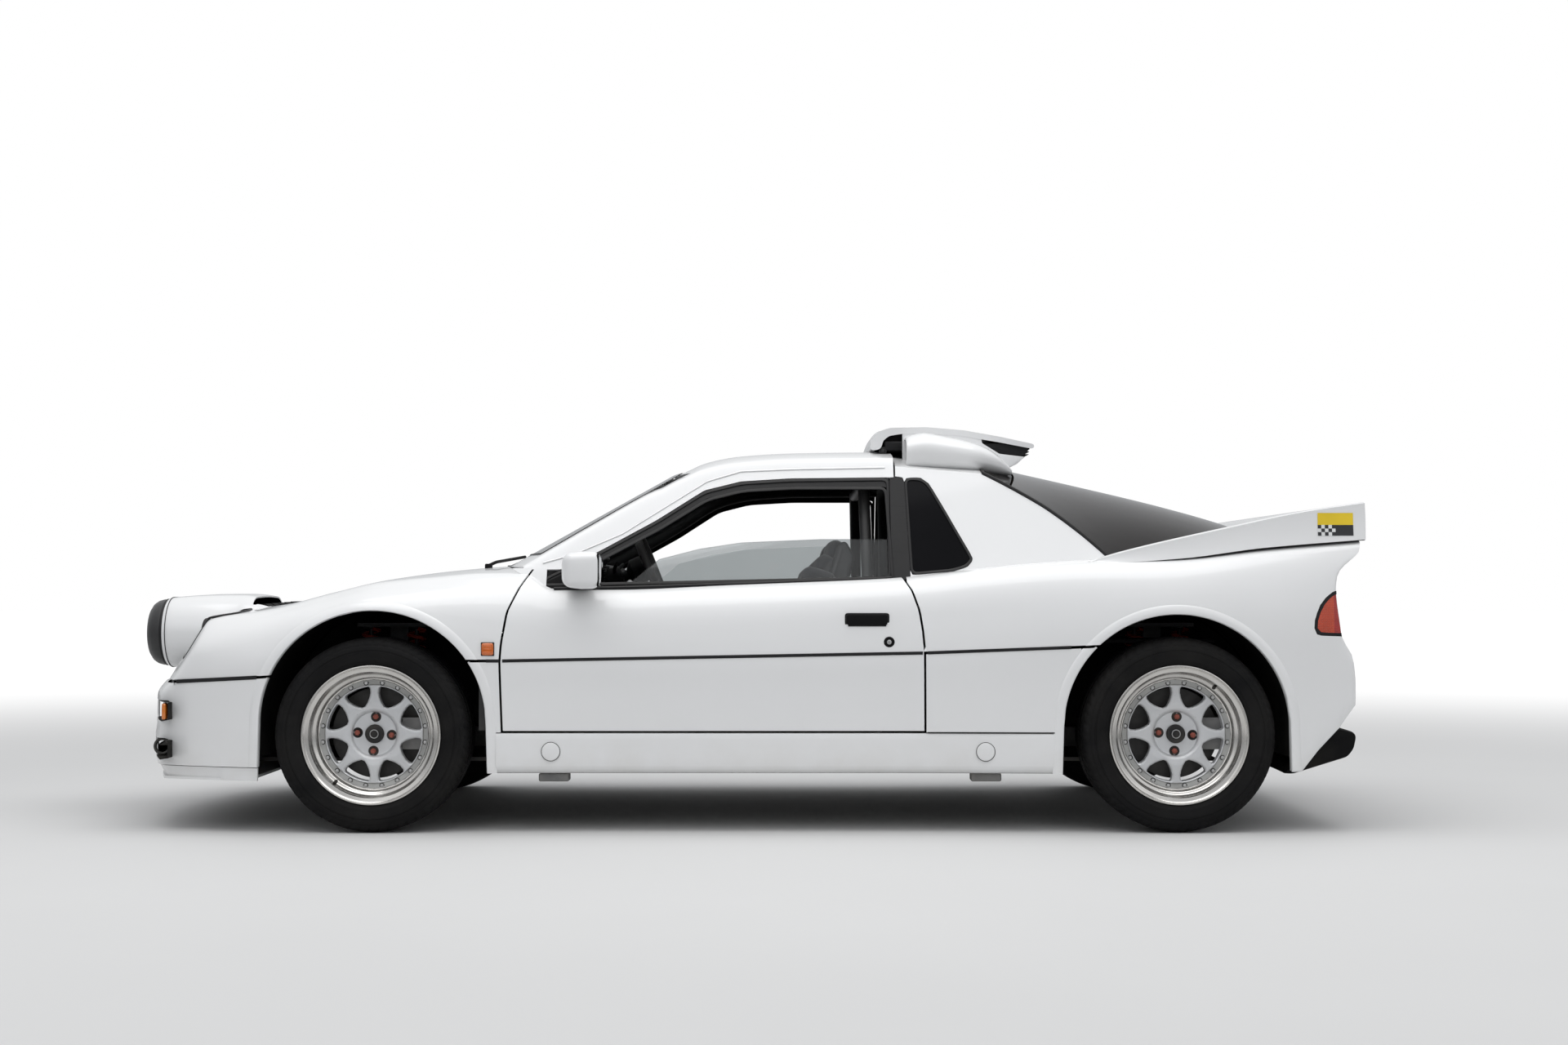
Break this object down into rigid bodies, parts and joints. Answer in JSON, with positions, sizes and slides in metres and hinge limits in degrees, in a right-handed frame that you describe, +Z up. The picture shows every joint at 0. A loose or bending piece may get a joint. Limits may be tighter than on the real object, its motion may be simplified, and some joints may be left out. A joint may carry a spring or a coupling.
{
  "type": "rally car",
  "caption": "Two-seat mid-engined rally coupe with opening doors and clamshells, steered front wheels, roof intake and ducktail spoiler.",
  "frame": {"origin": "on the ground under the middle of the car", "axes": "+X towards the tail along the length, +Y towards the right side, +Z up"},
  "size_m": [4.02, 1.912, 1.315],
  "materials": {
    "paint_white": "gloss white paint",
    "clear_glass": "clear",
    "dark_glass": "dark tinted",
    "lamp_glass": "ribbed clear",
    "amber_lens": "amber lens",
    "red_lens": "red and orange lens",
    "black_plastic": "moulded black",
    "tyre_rubber": "rubber",
    "rim_metal": "cast silver, polished lip",
    "disc_iron": "turned",
    "seat_cloth": "black cloth",
    "satin_black_steel": "satin black",
    "cast_metal": "cast",
    "spring_red": "red",
    "pipe_steel": "sooty steel"
  },
  "bodies": {
    "chassis": {"tub": "satin_black_steel", "spring_towers": "satin_black_steel", "cab_frame": "paint_white", "windscreen": "clear_glass", "front_bumper": "paint_white", "bumper_lamps": "amber_lens", "front_splitter": "paint_white", "lower_side_panels": "paint_white", "side_sills": "paint_white", "dashboard": "black_plastic", "seats": "seat_cloth", "roll_cage": "satin_black_steel", "engine_block": "cast_metal", "exhaust": "pipe_steel", "front_wishbones": "satin_black_steel", "rear_wishbones": "satin_black_steel", "coil_springs": "spring_red", "rear_uprights": "cast_metal"},
    "front_clamshell": {"front_clam": "paint_white", "lamp_pod": "paint_white", "lamp_covers": "black_plastic", "headlamps": "lamp_glass"},
    "rear_clamshell": {"rear_clam": "paint_white", "rear_screen": "dark_glass", "quarter_windows": "dark_glass", "roof_scoop": "paint_white", "tail_lamps": "red_lens", "spoiler": "paint_white", "rear_valance": "black_plastic"},
    "left_door": {"left_door": "paint_white", "left_door_glass": "clear_glass", "left_mirror": "paint_white"},
    "right_door": {"right_door": "paint_white", "right_door_glass": "clear_glass", "right_mirror": "paint_white"},
    "left_steering": {"left_knuckle": "cast_metal"},
    "right_steering": {"right_knuckle": "cast_metal"},
    "rack": {"steering_rack": "satin_black_steel"},
    "steering_wheel": {"steering_wheel": "black_plastic"},
    "front_left_wheel": {"front_left_tyre": "tyre_rubber", "front_left_rim": "rim_metal", "front_left_brake_disc": "disc_iron"},
    "front_right_wheel": {"front_right_tyre": "tyre_rubber", "front_right_rim": "rim_metal", "front_right_brake_disc": "disc_iron"},
    "rear_left_wheel": {"rear_left_tyre": "tyre_rubber", "rear_left_rim": "rim_metal", "rear_left_brake_disc": "disc_iron"},
    "rear_right_wheel": {"rear_right_tyre": "tyre_rubber", "rear_right_rim": "rim_metal", "rear_right_brake_disc": "disc_iron"}
  },
  "joints": [
    {"name": "front_clam_hinge", "type": "hinge", "parent": "chassis", "child": "front_clamshell", "pos_m": [-1.915, 0, 0.464], "axis": [0, -1, 0], "range_deg": [0, 60]},
    {"name": "rear_clam_hinge", "type": "hinge", "parent": "chassis", "child": "rear_clamshell", "pos_m": [1.88, 0, 0.235], "axis": [0, 1, 0], "range_deg": [0, 60]},
    {"name": "left_door_hinge", "type": "hinge", "parent": "chassis", "child": "left_door", "pos_m": [-0.68, -0.83, 0.55], "axis": [0, 0, -1], "range_deg": [0, 65]},
    {"name": "right_door_hinge", "type": "hinge", "parent": "chassis", "child": "right_door", "pos_m": [-0.68, 0.83, 0.55], "axis": [0, 0, 1], "range_deg": [0, 65]},
    {"name": "left_steer", "type": "hinge", "parent": "chassis", "child": "left_steering", "pos_m": [-1.122, -0.64, 0.306], "axis": [0, 0, 1], "range_deg": [-30, 30]},
    {"name": "right_steer", "type": "hinge", "parent": "chassis", "child": "right_steering", "pos_m": [-1.122, 0.64, 0.306], "axis": [0, 0, 1], "range_deg": [-30, 30]},
    {"name": "rack_slide", "type": "slide", "parent": "chassis", "child": "rack", "axis": [0, 1, 0], "range_m": [-0.055, 0.055]},
    {"name": "steering_turn", "type": "hinge", "parent": "chassis", "child": "steering_wheel", "pos_m": [-0.277, -0.35, 0.84], "axis": [-0.9272, 0, -0.3746], "range_deg": [-360, 360]},
    {"name": "front_left_spin", "type": "hinge", "parent": "left_steering", "child": "front_left_wheel", "pos_m": [-1.122, -0.75, 0.306], "axis": [0, 1, 0], "continuous": true},
    {"name": "front_right_spin", "type": "hinge", "parent": "right_steering", "child": "front_right_wheel", "pos_m": [-1.122, 0.75, 0.306], "axis": [0, 1, 0], "continuous": true},
    {"name": "rear_left_spin", "type": "hinge", "parent": "chassis", "child": "rear_left_wheel", "pos_m": [1.408, -0.75, 0.306], "axis": [0, 1, 0], "continuous": true},
    {"name": "rear_right_spin", "type": "hinge", "parent": "chassis", "child": "rear_right_wheel", "pos_m": [1.408, 0.75, 0.306], "axis": [0, 1, 0], "continuous": true}
  ],
  "couplings": [
    {"joint": "right_steer", "follows": "left_steer", "ratio": 1},
    {"joint": "rack_slide", "follows": "left_steer", "m_per_rad": -0.105},
    {"joint": "steering_turn", "follows": "left_steer", "ratio": -12}
  ]
}
